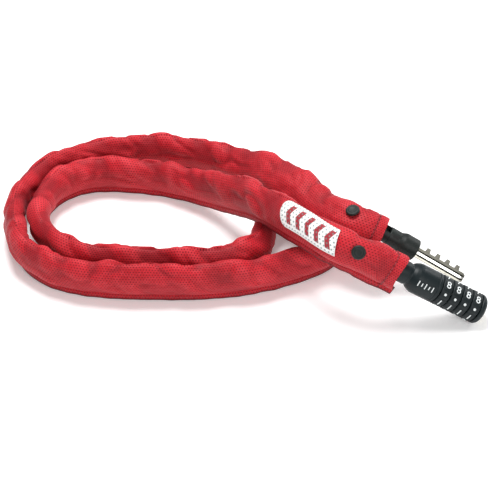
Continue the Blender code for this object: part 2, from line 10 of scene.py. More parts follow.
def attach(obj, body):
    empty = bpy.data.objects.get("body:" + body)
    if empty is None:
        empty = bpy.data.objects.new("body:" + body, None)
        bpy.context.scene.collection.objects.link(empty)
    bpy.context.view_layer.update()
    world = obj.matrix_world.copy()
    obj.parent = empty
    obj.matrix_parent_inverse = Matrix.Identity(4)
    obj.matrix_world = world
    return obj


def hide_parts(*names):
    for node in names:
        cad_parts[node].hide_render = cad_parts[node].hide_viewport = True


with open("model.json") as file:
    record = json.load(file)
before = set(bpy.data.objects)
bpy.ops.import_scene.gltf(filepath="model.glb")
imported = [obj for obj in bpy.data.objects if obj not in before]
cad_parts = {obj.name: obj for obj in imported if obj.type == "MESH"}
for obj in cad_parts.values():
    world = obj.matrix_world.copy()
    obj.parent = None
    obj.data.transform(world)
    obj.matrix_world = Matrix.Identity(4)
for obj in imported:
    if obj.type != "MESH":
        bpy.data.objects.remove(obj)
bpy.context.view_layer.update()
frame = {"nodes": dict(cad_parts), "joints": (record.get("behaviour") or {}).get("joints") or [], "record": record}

MM = 0.001

# ---- the lay of the lock in millimetres, from the origin under its two metal ends
ORIGIN = Vector((126.65, -61.3, 0.0))
LOCK_AXIS = Vector((0.86, -0.065, -0.50)).normalized()
LOCK_TIP = Vector((163.0, -80.7, 7.98))
LOCK_LENGTH = 62.0
PIN_AXIS = Vector((0.866, -0.2, -0.47)).normalized()
PIN_FACE = Vector((119.5, -44.4, 31.0))
TEETH_TOWARDS = Vector((0.49, 0.56, 0.667))
LOCK_SHOULDER = LOCK_TIP - LOCK_LENGTH * LOCK_AXIS
LOCK_MOUTH = LOCK_SHOULDER - 4.0 * LOCK_AXIS + Vector((-1.3, 0.1, -2.2))
PIN_MOUTH = PIN_FACE - 24.5 * PIN_AXIS + Vector((-1.2, -2.0, -1.4))
SEAM_DROP = 19.0
LAID = SEAM_DROP + 0.3
TUBE_HALF_HEIGHT = 13.0

# the sleeve's way from the lock to the pin: x, y, z, lean in degrees, half thickness
ROUTE = [
    (*LOCK_MOUTH, 2, 11.0), (*(LOCK_MOUTH - 15.0 * LOCK_AXIS), 3, 10.2),
    (76, -73.5, 54.0, 4, 10.3), (61, -66.0, 56.5, 6, 10.2), (46, -53.0, 57.0, 6, 8.4),
    (30, -36.0, 55.4, 5, 8.0), (14, -14.0, 50.0, 4, 8.0), (-2, 8.0, 40.5, 3, 8.0),
    (-19, 28.0, 29.5, 2, 7.8), (-37, 44.0, 22.0, 0, 7.7), (-58, 55.0, LAID, 0, 7.7),
    (-84, 60.0, LAID, 0, 7.7), (-111, 61.0, LAID, 0, 8.4), (-132, 52.5, LAID, 0, 8.5),
    (-145, 34.0, LAID, 0, 8.3), (-149, 12.0, LAID, 0, 8.2), (-143, -11.0, LAID, 0, 8.3),
    (-127, -29.0, LAID, 0, 8.1), (-100, -40.5, LAID, 0, 7.6), (-70, -43.0, LAID, 0, 7.5),
    (-40, -43.5, LAID, 0, 7.6), (-16, -42.5, LAID, 0, 8.4), (2, -34.5, LAID, 0, 9.0),
    (12, -20.0, LAID, 0, 9.0), (16, -3.0, LAID, 0, 8.8), (24, 14.5, LAID, 0, 9.3),
    (43, 24.0, LAID, 0, 9.3), (61.5, 16.5, LAID, 0, 9.4), (71, -1.0, LAID, 0, 9.4),
    (67.5, -20.0, LAID, 0, 9.5), (54, -34.0, LAID, 0, 8.8), (34, -45.0, LAID, 0, 7.8),
    (8, -54.5, LAID, 0, 7.6), (-22, -60.0, LAID, 0, 7.5), (-62, -61.0, LAID, 0, 7.5),
    (-102, -58.5, LAID, 0, 7.6), (-138, -47.0, LAID, 0, 7.8), (-159, -25.0, LAID, 0, 7.9),
    (-166.5, 5.0, LAID, 0, 7.8), (-163, 36.0, LAID, 0, 7.8), (-147, 63.0, LAID, 0, 7.8),
    (-120, 80.0, LAID, 0, 7.7), (-84, 89.0, LAID, 0, 7.7), (-48, 88.0, LAID, 0, 7.7),
    (-20, 77.0, 20.0, 8, 7.8), (3, 58.0, 27.0, 24, 7.9), (20, 38.0, 36.0, 50, 8.0),
    (31, 24.0, 41.5, 66, 8.0), (42, 9.5, 43.0, 70, 8.0), (54, -10.0, 44.3, 66, 8.4),
    (64, -24.0, 45.8, 62, 10.2), (75, -33.0, 47.2, 59, 10.4),
    (*(PIN_MOUTH - 12.0 * PIN_AXIS), 58, 9.8), (*PIN_MOUTH, 58, 9.2),
]
LINK_PITCH = 22.1
STUD_ON_LOCK_END = 34.0
STUD_ON_PIN_END = 24.0
LABEL_START, LABEL_LENGTH = 43.5, 49.5
LABEL_LOW, LABEL_HIGH = -1.0, 16.0
LABEL_LIFT, LABEL_THICK = 0.95, 0.5
HEM_FROM_MOUTH = 8.0

# ---- lock barrel and pin end
NECK_RADIUS = 8.0
BARREL_RADIUS = 10.75
DIALS, DIALS_START, DIAL_PITCH, DIAL_GAP = 4, 25.0, 8.0, 0.25
DIAL_PLACES = 9
CODE_RADIUS = 7.9
PRINT_HALF = 0.1
PLATE_RADIUS = 6.6
PIN_RADIUS, PIN_NECK = 8.0, 6.5
EAR_RADIUS, PIN_EAR, FORK_HALF = 6.7, 6.2, 3.0
FRONT_AND_UP = Vector((0, -0.766, 0.643))


# ------------------------------------------------------------------ camera, light and floor

def make_camera():
    """Looks down at the lying loop from the front."""
    elevation, distance = math.radians(40), 1.165
    back = Vector((0, -math.cos(elevation), math.sin(elevation)))
    target = -ORIGIN * MM
    data = bpy.data.cameras.new("camera")
    data.sensor_width = 36
    data.lens = 117.6
    camera = bpy.data.objects.new("camera", data)
    bpy.context.scene.collection.objects.link(camera)
    camera.location = target + back * distance
    camera.rotation_euler = (-back).to_track_quat("-Z", "Y").to_euler()
    bpy.context.scene.camera = camera


def area_light(name, location, target, size, power):
    """A round light of a size and power that faces a target."""
    data = bpy.data.lights.new(name, "AREA")
    data.shape = "DISK"
    data.size = size
    data.energy = power
    lamp = bpy.data.objects.new(name, data)
    bpy.context.scene.collection.objects.link(lamp)
    lamp.location = location
    lamp.rotation_euler = (Vector(target) - Vector(location)).to_track_quat("-Z", "Y").to_euler()


def make_studio():
    """Soft light from above, a weaker fill from the front and a rim light from behind."""
    middle = (-0.12, 0.06, 0.02)
    area_light("key", (-0.25, 0.25, 1.0), middle, 0.5, 12)
    area_light("front", (0.35, -0.8, 0.6), middle, 0.6, 4)
    area_light("rim", (0.7, 0.6, 0.5), middle, 0.4, 3)
    world = bpy.data.worlds.new("studio")
    world.use_nodes = True
    background = world.node_tree.nodes["Background"]
    background.inputs["Color"].default_value = (1, 1, 1, 1)
    background.inputs["Strength"].default_value = 0.40
    bpy.context.scene.world = world
    bpy.context.scene.view_settings.view_transform = "Standard"


def make_floor():
    """A plain pale floor, far wider than the view."""
    builder = bmesh.new()
    bmesh.ops.create_grid(builder, x_segments=2, y_segments=2, size=6.0)
    mesh = bpy.data.meshes.new("floor")
    builder.to_mesh(mesh)
    builder.free()
    floor = bpy.data.objects.new("floor", mesh)
    bpy.context.scene.collection.objects.link(floor)
    pale = Graph("floor_white", Roughness=0.9, Specular_IOR_Level=0.1, Emission_Strength=0.22,
                 Base_Color=(0.92, 0.92, 0.92, 1), Emission_Color=(1, 1, 1, 1))
    mesh.materials.append(pale.material)


# ------------------------------------------------------------------ the shader sums

class Value:
    """A socket of a material's tree that adds a Math node for each sum it is used in."""

    def __init__(self, graph, socket):
        self.graph = graph
        self.socket = socket

    def _sum(self, operation, *values):
        return self.graph.node("ShaderNodeMath", {"operation": operation}, *values)

    def __add__(self, other):
        return self._sum("ADD", self, other)

    def __sub__(self, other):
        return self._sum("SUBTRACT", self, other)

    def __mul__(self, other):
        return self._sum("MULTIPLY", self, other)

    def __truediv__(self, other):
        return self._sum("DIVIDE", self, other)

    def __rsub__(self, other):
        return self._sum("SUBTRACT", other, self)

    def __rtruediv__(self, other):
        return self._sum("DIVIDE", other, self)

    __radd__ = __add__
    __rmul__ = __mul__

    def power(self, exponent):
        return self._sum("POWER", self, exponent)

    def fraction(self):
        return self._sum("FRACT", self)

    def floor(self):
        return self._sum("FLOOR", self)

    def size(self):
        return self._sum("ABSOLUTE", self)

    def ramp(self, low, high):
        """0 below low, 1 above high and smooth between; low may be above high."""
        flip = low > high
        settings = {"interpolation_type": "SMOOTHSTEP"}
        made = self.graph.node("ShaderNodeMapRange", settings, self, min(low, high), max(low, high))
        return 1 - made if flip else made


class Graph:
    """The nodes of one material round its Principled shader."""

    def __init__(self, name, **constants):
        self.material = bpy.data.materials.new(name)
        self.material.use_nodes = True
        self.tree = self.material.node_tree
        self.shader = self.tree.nodes["Principled BSDF"]
        for socket, value in constants.items():
            self.shader.inputs[socket.replace("_", " ")].default_value = value

    def node(self, kind, settings, *values, output=0, **named):
        """Adds a node, sets it, then fills its sockets in order and by name."""
        made = self.tree.nodes.new(kind)
        for key, value in settings.items():
            setattr(made, key, value)
        sockets = [s for s in made.inputs if s.enabled]
        pairs = list(zip(sockets, values))
        pairs += [(made.inputs[key.replace("_", " ")], value) for key, value in named.items()]
        for socket, value in pairs:
            if isinstance(value, Value):
                self.tree.links.new(value.socket, socket)
            else:
                socket.default_value = value
        outputs = [s for s in made.outputs if s.enabled]
        return Value(self, outputs[output])

    def mix(self, mask, first, second):
        """The first colour where the mask is 0 and the second where it is 1."""
        settings = {"data_type": "RGBA"}
        colours = [(*c, 1.0) if isinstance(c, tuple) else c for c in (first, second)]
        return self.node("ShaderNodeMix", settings, mask, *colours)

    def noise(self, scale, detail=3.0, where=None, rough=0.5):
        """Cloudy noise about 0.5, with scale waves to the metre."""
        place = where or self.place()
        settings = {"noise_dimensions": "3D"}
        return self.node("ShaderNodeTexNoise", settings, Vector=place, Scale=scale, Detail=detail,
                         Roughness=rough)

    def place(self):
        """Where a point lies on its object, in metres."""
        return self.node("ShaderNodeTexCoord", {}, output=3)

    def stretch(self, x, y, z):
        return self.node("ShaderNodeMapping", {}, Vector=self.place(), Scale=(x, y, z))

    def cloth(self):
        """Millimetres along and across the cloth."""
        uv = self.node("ShaderNodeUVMap", {"uv_map": "cloth"})
        return [self.node("ShaderNodeSeparateXYZ", {}, uv, output=k) * 1000 for k in (0, 1)]

    def dots(self, along, across, pitch, radius):
        """Rows of staggered dots: 1 in a dot, 0 outside."""
        row_height = 0.87
        row = across / (pitch * row_height)
        shift = (row.floor() / 2).fraction()
        x = (along / pitch + shift).fraction() - 0.5
        y = (row.fraction() - 0.5) * row_height
        near = (x * x + y * y).power(0.5)
        return near.ramp(radius / pitch * 1.25, radius / pitch * 0.75)

    def feed(self, socket, value):
        self.tree.links.new(value.socket, self.shader.inputs[socket])

    def bump(self, height, strength, distance):
        made = self.node("ShaderNodeBump", {}, Strength=strength, Distance=distance, Height=height)
        self.feed("Normal", made)


def sleeve_material(length):
    """Soft red cover fabric with rows of pinholes, with painted shade in its hollows, along the flange groove, the
    hems and the raw edge, and painted highlights on its ridges.
    """
    g = Graph("sleeve_red", Sheen_Weight=0.12, Sheen_Roughness=0.4, Sheen_Tint=(1.0, 0.4, 0.45, 1.0),
              Specular_IOR_Level=0.26)
    along, across = g.cloth()
    holes = g.dots(along, across, 2.0, 0.42)
    patches = g.noise(32.0, 3.0).ramp(0.35, 0.68)
    grain = g.noise(1500.0, 3.0, rough=0.65)
    weave = g.noise(380.0, 5.0, rough=0.6)
    rumple = g.noise(150.0, 3.0)
    base = g.mix(patches, (0.40, 0.007, 0.014), (0.52, 0.011, 0.021))
    base = g.mix(weave.ramp(0.42, 0.64) * 0.4, base, (0.60, 0.035, 0.05))
    # crest is how far the cloth stands out; the next two mixes paint shade into its hollows and a highlight onto
    # its ridges
    crest = g.node("ShaderNodeAttribute", {"attribute_name": "crest"}, output=2)
    base = g.mix(crest.ramp(0.5, 0.05) * 0.55, base, (0.17, 0.003, 0.008))
    base = g.mix(crest.ramp(0.52, 0.95) * 0.4, base, (0.66, 0.045, 0.06))
    base = g.mix(holes * (0.55 + weave * 0.5), base, (0.07, 0.002, 0.006))
    # painted shade: a dark line along the groove where the tube meets the flange
    flange_top = 6.1
    groove = (across - flange_top).size().ramp(0.95, 0.15) * 0.85
    base = g.mix(groove, base, (0.05, 0.002, 0.004))
    # painted shade: a dark line along the sewn hem's groove near each mouth
    hem = (length / 2 - HEM_FROM_MOUTH - (along - length / 2).size()).size().ramp(0.8, 0.2) * 0.6
    base = g.mix(hem, base, (0.06, 0.002, 0.005))
    # painted shade: a dark band along the raw edge, where the two cloth layers part at the foot of the flange
    raw_edge_shade = across.ramp(2.4, 1.4) * 0.75
    base = g.mix(raw_edge_shade, base, (0.06, 0.002, 0.005))
    g.feed("Base Color", base)
    g.feed("Roughness", 0.5 + grain * 0.12 + holes * 0.25 + weave * 0.08)
    g.bump(grain * 0.2 + weave * 0.55 + rumple * 1.6 - holes * 1.3, 0.5, 0.0006)
    return g.material


def thread_material(name, colour):
    """Sewing thread with a fine twist."""
    g = Graph(name, Sheen_Weight=0.2)
    twist = g.noise(1800.0, 2.0)
    dark = tuple(c * 0.6 for c in colour)
    g.feed("Base Color", g.mix(twist, dark, colour))
    g.feed("Roughness", 0.5 + twist * 0.2)
    g.bump(twist, 0.4, 0.0002)
    return g.material


def label_material():
    """White fabric with grey-green dots and a row of plain red chevrons."""
    g = Graph("label_white", Sheen_Weight=0.15, Specular_IOR_Level=0.4)
    along, across = g.cloth()
    dots = g.dots(along, across, 2.6, 0.55)
    fibre = g.noise(900.0, 3.0)
    base = g.mix(fibre, (0.80, 0.81, 0.80), (0.90, 0.90, 0.89))
    middle, first, pitch = 8.5, 3.5, 8.4
    level = (across - middle).size()
    place = (along - first + level * 0.45) / pitch
    chevrons = (place.fraction() - 0.5).size().ramp(0.24, 0.19)
    inside = (place - 2.5).size().ramp(2.52, 2.48)
    marks = chevrons * inside * level.ramp(5.9, 5.6)
    base = g.mix(marks, base, (0.33, 0.015, 0.028))
    base = g.mix(dots * 0.8, base, (0.13, 0.22, 0.21))
    g.feed("Base Color", base)
    g.feed("Roughness", 0.55 + fibre * 0.2)
    g.bump(fibre * 0.4 - dots, 0.5, 0.0004)
    return g.material


def coated_material(name, colour, rough, wear_colour):
    """Satin coating: fine grain, slow patches and small rubbed spots."""
    g = Graph(name, Specular_IOR_Level=0.24)
    grain = g.noise(2200.0, 2.0)
    patches = g.noise(60.0, 3.0)
    rubs = g.noise(240.0, 5.0, rough=0.7).ramp(0.66, 0.74) * 0.35
    light = tuple(c * 1.5 for c in colour)
    g.feed("Base Color", g.mix(rubs, g.mix(patches, colour, light), wear_colour))
    g.feed("Roughness", rough + patches * 0.14 + grain * 0.06)
    g.bump(grain, 0.12, 0.0002)
    return g.material


def moulded_material():
    """Fine-textured black plastic."""
    g = Graph("moulded_black", Specular_IOR_Level=0.28)
    texture = g.noise(1500.0, 2.0)
    patches = g.noise(90.0, 2.0)
    g.feed("Base Color", g.mix(patches, (0.006, 0.009, 0.008), (0.013, 0.017, 0.016)))
    g.feed("Roughness", 0.42 + texture * 0.14)
    g.bump(texture, 0.22, 0.0003)
    return g.material


def steel_material(name, colour, rough, metallic=1.0):
    """Bare metal with lines drawn along it and duller spots."""
    g = Graph(name, Metallic=metallic)
    lines = g.noise(300.0, 3.0, where=g.stretch(0.2, 8.0, 5.0))
    spots = g.noise(150.0, 4.0).ramp(0.5, 0.8)
    dark = tuple(c * 0.7 for c in colour)
    g.feed("Base Color", g.mix(lines, dark, colour))
    g.feed("Roughness", rough + lines * 0.12 + spots * 0.1)
    g.bump(lines, 0.06, 0.0002)
    return g.material


def paint_material():
    """White print, slightly worn."""
    g = Graph("print_white", Specular_IOR_Level=0.4)
    fade = g.noise(700.0, 3.0)
    g.feed("Base Color", g.mix(fade, (0.62, 0.66, 0.66), (0.85, 0.88, 0.88)))
    g.feed("Roughness", 0.45 + fade * 0.1)
    return g.material


# ------------------------------------------------------------------ mesh helpers

def finish_mesh(name, builder, material, body, replaces=(), angle=40):
    """Makes an object of a bmesh and puts it on a body, with edges sharper than angle left sharp."""
    mesh = bpy.data.meshes.new(name)
    bmesh.ops.recalc_face_normals(builder, faces=builder.faces)
    builder.to_mesh(mesh)
    builder.free()
    mesh.shade_smooth()
    mesh.set_sharp_from_angle(angle=math.radians(angle))
    mesh.materials.append(material)
    obj = bpy.data.objects.new(name, mesh)
    bpy.context.scene.collection.objects.link(obj)
    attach(obj, body)
    if replaces:
        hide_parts(*replaces)
    return obj


def grid(builder, rows, wrap_columns=True, wrap_rows=False, coordinates=None):
    """Faces between rows of points; coordinates gives each corner's place on the cloth."""
    made = [[builder.verts.new(p) for p in row] for row in rows]
    layer = builder.loops.layers.uv.get("cloth") or builder.loops.layers.uv.new("cloth")
    count = len(made[0])
    row_steps = range(len(made)) if wrap_rows else range(len(made) - 1)
    column_steps = range(count) if wrap_columns else range(count - 1)
    for r in row_steps:
        s = (r + 1) % len(made)
        for c in column_steps:
            d = (c + 1) % count
            face = builder.faces.new((made[r][c], made[r][d], made[s][d], made[s][c]))
            if coordinates:
                for loop, corner in zip(face.loops, ((r, c), (r, d), (s, d), (s, c))):
                    loop[layer].uv = coordinates(*corner)
    return made


def close_ends(builder, rows):
    """A face across the first row and one across the last."""
    for row in (rows[0], rows[-1]):
        builder.faces.new(row)


def polar(radius, turn, z):
    """The point at a radius and an angle about Z."""
    return Vector((radius * math.cos(turn), radius * math.sin(turn), z))


def placed(x, y, z, origin):
    """The matrix of three directions and a place."""
    rows = [[x[i], y[i], z[i], origin[i]] for i in range(3)]
    return Matrix((*rows, (0, 0, 0, 1)))


def turned(name, profile, matrix, material, body, replaces=(), closed=False, steps=72,
           wobble=None, angle=40):
    """Turns a profile of (radius, height) about Z; wobble changes the radius with the angle."""
    rows = []
    for r, z in profile:
        row = []
        for i in range(steps):
            turn = 2 * math.pi * i / steps
            radius = r + (wobble(r, z, turn) if wobble else 0)
            row.append(matrix @ polar(radius, turn, z) * MM)
        rows.append(row)
    builder = bmesh.new()
    made = grid(builder, rows, wrap_rows=closed)
    if not closed:
        close_ends(builder, made)
    return finish_mesh(name, builder, material, body, replaces, angle)


def rounded(points, size=0.35, steps=3):
    """Rounds the corners of a profile with short curves."""
    out = [points[0]]
    for before, corner, after in zip(points, points[1:], points[2:]):
        a, b, c = (Vector(p) for p in (before, corner, after))
        reach = min(size, (a - b).length * 0.45, (c - b).length * 0.45)
        start, end = b + (a - b).normalized() * reach, b + (c - b).normalized() * reach
        for i in range(steps + 1):
            t = i / steps
            out.append(tuple(start * (1 - t)**2 + b * 2 * t * (1 - t) + end * t**2))
    return [*out, points[-1]]


def local_axes(z, x_hint, origin):
    """A matrix in millimetres for local points, about an axis through origin."""
    y = z.cross(x_hint).normalized()
    return placed(y.cross(z), y, z, origin - ORIGIN)


def beads(name, frames, size, material, body):
    """Many small rounded stitches, one at each frame, in one mesh."""
    ball = bmesh.new()
    bmesh.ops.create_uvsphere(ball, u_segments=8, v_segments=5, radius=1.0)
    corners = np.array([[*v.co, 1.0] for v in ball.verts]) * np.array([*size, 1.0])
    faces = [[v.index for v in f.verts] for f in ball.faces]
    ball.free()
    places = [corners @ np.array(matrix).T[:, :3] * MM for matrix in frames]
    mesh = bpy.data.meshes.new(name)
    joined = [[i + k * len(corners) for i in face] for k in range(len(frames)) for face in faces]
    mesh.from_pydata(np.concatenate(places).tolist(), [], joined)
    builder = bmesh.new()
    builder.from_mesh(mesh)
    bpy.data.meshes.remove(mesh)
    return finish_mesh(name, builder, material, body, angle=60)


# ------------------------------------------------------------------ the route as a smooth curve

def smooth_curve(rows, step=1.0):
    """Samples a natural cubic spline through rows about every step; gives distances and values."""
    knots = np.array(rows, float)
    spans = np.linalg.norm(np.diff(knots[:, :3], axis=0), axis=1)
    along = np.concatenate([[0.0], np.cumsum(spans)])
    count = len(knots)
    system = np.eye(count)
    right = np.zeros_like(knots)
    for i in range(1, count - 1):
        before, after = spans[i - 1], spans[i]
        system[i, i - 1:i + 2] = before, 2 * (before + after), after
        rise = (knots[i + 1] - knots[i]) / after - (knots[i] - knots[i - 1]) / before
        right[i] = 6 * rise
    bend = np.linalg.solve(system, right)
    values = []
    for at in np.linspace(0, along[-1], int(along[-1] / step)):
        i = min(int(np.searchsorted(along, at, "right")) - 1, count - 2)
        span, u = spans[i], at - along[i]
        v = span - u
        values.append(
            (bend[i] * v**3 + bend[i + 1] * u**3) / (6 * span)
            + (knots[i] / span - bend[i] * span / 6) * v
            + (knots[i + 1] / span - bend[i + 1] * span / 6) * u)
    values = np.array(values)
    steps = np.linalg.norm(np.diff(values[:, :3], axis=0), axis=1)
    return np.concatenate([[0.0], np.cumsum(steps)]), values


class Way:
    """A smooth way through space that knows its length and the strip's attitude at each distance."""

    def __init__(self, rows):
        self.distances, self.values = smooth_curve(rows)
        self.length = float(self.distances[-1])

    def at(self, distance):
        return [float(np.interp(distance, self.distances, column)) for column in self.values.T]

    def point(self, distance):
        return Vector(self.at(distance)[:3])

    def attitude(self, distance):
        reach = 2.0
        ahead = self.point(min(distance + reach, self.length))
        behind = self.point(max(distance - reach, 0.0))
        forward = (ahead - behind).normalized()
        up = (Vector((0, 0, 1)) - forward.z * forward).normalized()
        side = forward.cross(up)
        lean = math.radians(self.at(distance)[3]) * (1 if side.y > 0 else -1)
        up = up * math.cos(lean) + side * math.sin(lean)
        return forward, up, forward.cross(up)

    def bend(self, distance):
        """How sharply the way turns sideways here, in turns to the strip's side per millimetre."""
        reach = 9.0
        here = self.attitude(distance)
        ahead = self.attitude(min(distance + reach, self.length))[0]
        behind = self.attitude(max(distance - reach, 0.0))[0]
        return (ahead - behind).dot(here[2]) / (2 * reach)

    def front(self, distance):
        return 1 if self.attitude(distance)[2].y < 0 else -1


# ------------------------------------------------------------------ sleeve

OVAL_POINTS = 60
FLANGE_HALF = 1.0
SLEEVE_WALL = 0.8
INSIDE_LOW = -12.4
RING_STEP = 2.1
INSIDE_ROWS = 17


def outline(half, drawn):
    """The section as (up, sideways), from the raw edge round the tube and back to the other edge.

    drawn says how far the lower sides are pulled in to the seam.
    """
    start, height = 0.15, TUBE_HALF_HEIGHT + 0.6
    oval = []
    for i in range(OVAL_POINTS):
        turn = start + (2 * math.pi - 2 * start) * i / (OVAL_POINTS - 1)
        rise, reach = -math.cos(turn), math.sin(turn)
        oval.append((height * rise, half * reach * (1 - drawn * max(0.0, -rise - 0.35)**1.2)))
    flange = [(-SEAM_DROP + 0.9, 0.0), (-SEAM_DROP, FLANGE_HALF * 0.55), (-SEAM_DROP + 0.5, FLANGE_HALF),
              (-15.9, FLANGE_HALF * 1.05), (-15.1, FLANGE_HALF * 0.85), (-14.4, FLANGE_HALF * 0.5)]
    return flange + oval + [(h, -n) for h, n in flange[:0:-1]]


def cloth_distances(section):
    """Distance over the cloth from the raw edge, the same on both sides of the strip."""
    run = [0.0]
    for a, b in zip(section, section[1:]):
        run.append(run[-1] + math.dist(a, b))
    total = run[-1]
    return [min(d, total - d) for d in run]


def creases(distance, h, n, half, bend):
    """How far the fabric stands out from the plain section: link bumps, folds and small wrinkles."""
    rise = h / TUBE_HALF_HEIGHT
    side = 1 if n >= 0 else -1
    edge = abs(n) / half
    slant = distance + 0.9 * h * side
    uneven = 0.75 + 0.9 * noise.noise(Vector((distance / 55.0, 2.0, 4.0)))
    turn = math.pi * distance / LINK_PITCH
    link = 0.5 * math.cos(2 * turn) + 1.1 * math.cos(turn)
    out = link * uneven * max(0.0, rise)
    out += 0.9 * side * math.sin(turn) * edge
    out += 2.3 * noise.noise(Vector((slant / 24.0, rise * 0.9, side * 2.0)))
    out += 0.6 * noise.noise(Vector((slant / 9.0, rise * 1.5, side * 2.0 + 5)))
    valley = 1 - 4.5 * abs(noise.noise(Vector((slant / 19.0 + 30, rise * 0.7, side + 11.0))))
    out -= 1.5 * max(0.0, valley)
    inner = max(0.0, side * bend * 28.0) * edge
    out += inner * (1.1 * math.sin(distance / 2.9 + 1.2 * out) - 0.5)
    return out * min(1.0, max(0.2, (h + 16.0) / 12.0))


def hem_pinch(distance, length):
    """The sewn hems near the two mouths: a shallow groove in the fabric."""
    near = min(distance, length - distance)
    return -0.55 * math.exp(-(near - HEM_FROM_MOUTH)**2)


def fade_at_ends(distance, length):
    """0 at the two mouths, where the cover is plain, and 1 away from them."""
    near = min(distance, length - distance)
    return min(1.0, max(0.0, (near - 2.0) / 16.0))


def mouth_slide(way, distance, h, n, half):
    """How far the rim of the nearest mouth lies towards its end here; its two sides are hollowed."""
    reach, hollow, back = (4.5, 4.5, 0.0) if distance < way.length / 2 else (1.0, 2.5, 2.5)
    near = min(distance, way.length - distance)
    lean = reach * (TUBE_HALF_HEIGHT - h) / (2 * TUBE_HALF_HEIGHT)
    slide = lean - hollow * min(1.0, abs(n) / half)**1.5 - back
    return slide * max(0.0, 1 - near / 16.0)


def sleeve_rows(way):
    """Rows of points of the cover's outside and inside, the crest at each, and its place on the cloth."""
    count = round(way.length / RING_STEP)
    outer_rows, inner_rows, crests, spans = [], [], [], []
    for i in range(count + 1):
        distance = way.length * i / count
        half = way.at(distance)[4]
        forward, up, side = way.attitude(distance)
        outward = -forward if distance < way.length / 2 else forward
        centre = way.point(distance) - ORIGIN
        bend = way.bend(distance)
        straight = max(0.0, 1 - abs(bend) * 25)
        fade = fade_at_ends(distance, way.length)
        pinch = hem_pinch(distance, way.length)
        on_label = LABEL_START - 6 < distance < LABEL_START + LABEL_LENGTH + 6
        section = outline(half, 0.55 * fade * straight)
        outer, inner, crest = [], [], []
        for h, n in section:
            rise = h / TUBE_HALF_HEIGHT
            out = creases(distance, h, n, half, bend) * fade * (0.45 if on_label else 1.0)
            lowest = -0.15 - (1.5 if rise > -0.1 else 0.75) * straight - 1.6 * max(0.0, rise - 0.45)
            out = max(lowest, min(1.4 + max(0.0, rise), out)) + pinch
            seam = h < -TUBE_HALF_HEIGHT - 0.7
            if seam:
                out = 0.0
                n += 0.45 * noise.noise(Vector((distance / 11.0, 5.0, 5.0)))
                h += 0.6 * noise.noise(Vector((distance / 9.0, 7.0, 1.0)))
            size = math.hypot(h, n * 1.6) or 1.0
            h, n = h + out * h / size, n + out * n * 1.6 / size
            slid = centre + outward * mouth_slide(way, distance, h, n, half)
            outer.append((slid + up * h + side * n) * MM)
            if seam:
                h, n = INSIDE_LOW, n * 0.3
            else:
                h, n = h * (1 - SLEEVE_WALL / TUBE_HALF_HEIGHT), n * (1 - SLEEVE_WALL / half)
            inner.append((slid + up * h + side * n) * MM)
            # this crest value only steers the painted shade and painted highlight in the cloth's colour
            crest.append(0.5 if seam else 0.5 + out / 4.0)
        outer_rows.append(outer)
        inner_rows.append(inner)
        crests.append(crest)
        spans.append((distance, cloth_distances(section)))
    return outer_rows, inner_rows, crests, spans


def make_sleeve(way):
    """The cover, open at both mouths; its inside is made only as far as it can be seen."""
    outer_rows, inner_rows, crests, spans = sleeve_rows(way)
    builder = bmesh.new()
    crest = builder.verts.layers.float.new("crest")

    def spot(r, c):
        distance, run = spans[r]
        return distance * MM, run[c] * MM

    made = grid(builder, outer_rows, coordinates=spot)
    for row, heights in zip(made, crests):
        for vertex, height in zip(row, heights):
            vertex[crest] = height
    first = grid(builder, inner_rows[:INSIDE_ROWS])
    last = grid(builder, inner_rows[-INSIDE_ROWS:])
    layer, plain_cloth = builder.loops.layers.uv["cloth"], (0.0, 0.02)
    for outer, inner in ((made[0], first[0]), (made[-1], last[-1])):
        count = len(outer)
        for c in range(count):
            d = (c + 1) % count
            face = builder.faces.new((outer[c], outer[d], inner[d], inner[c]))
            for loop in face.loops:
                loop[layer].uv = plain_cloth
    close_ends(builder, (first[-1], last[0]))
    return finish_mesh("sleeve_cover", builder, sleeve_material(way.length), "root",
                       ("sleeve",), angle=65)


def surface_frame(way, distance, level, sign, lift=0.0):
    """A matrix on the sleeve's side: x along, y up round the tube, z out of the cloth.

    level is the distance round the tube from the middle of its side.
    """
    half = way.at(distance)[4]
    forward, up, side = way.attitude(distance)
    out = side * sign
    turn = level / ((half + TUBE_HALF_HEIGHT) / 2)
    rise, reach = math.sin(turn), math.cos(turn)
    normal = (out * reach * TUBE_HALF_HEIGHT + up * rise * half).normalized()
    across = normal.cross(forward).normalized()
    place = way.point(distance) - ORIGIN + up * rise * TUBE_HALF_HEIGHT + out * half * reach + normal * lift
    return placed(forward, across, normal, place)


def make_seam_stitches(way):
    """A row of stitches along each face of the flange."""
    frames = []
    pitch, above_edge, from_middle = 3.4, 3.0, 0.95
    for i in range(int(way.length / pitch) - 2):
        distance = (i + 1.5) * pitch
        forward, up, side = way.attitude(distance)
        for sign in (-1, 1):
            place = way.point(distance) - ORIGIN + up * (above_edge - SEAM_DROP)
            place = place + side * sign * from_middle
            wander = 0.5 * noise.noise(Vector((distance / 11.0, 5.0, 5.0)))
            frames.append(placed(forward, up, side * sign, place + side * wander))
    thread = thread_material("thread_red", (0.42, 0.02, 0.035))
    return beads("seam_stitches", frames, (1.2, 0.32, 0.3), thread, "root")


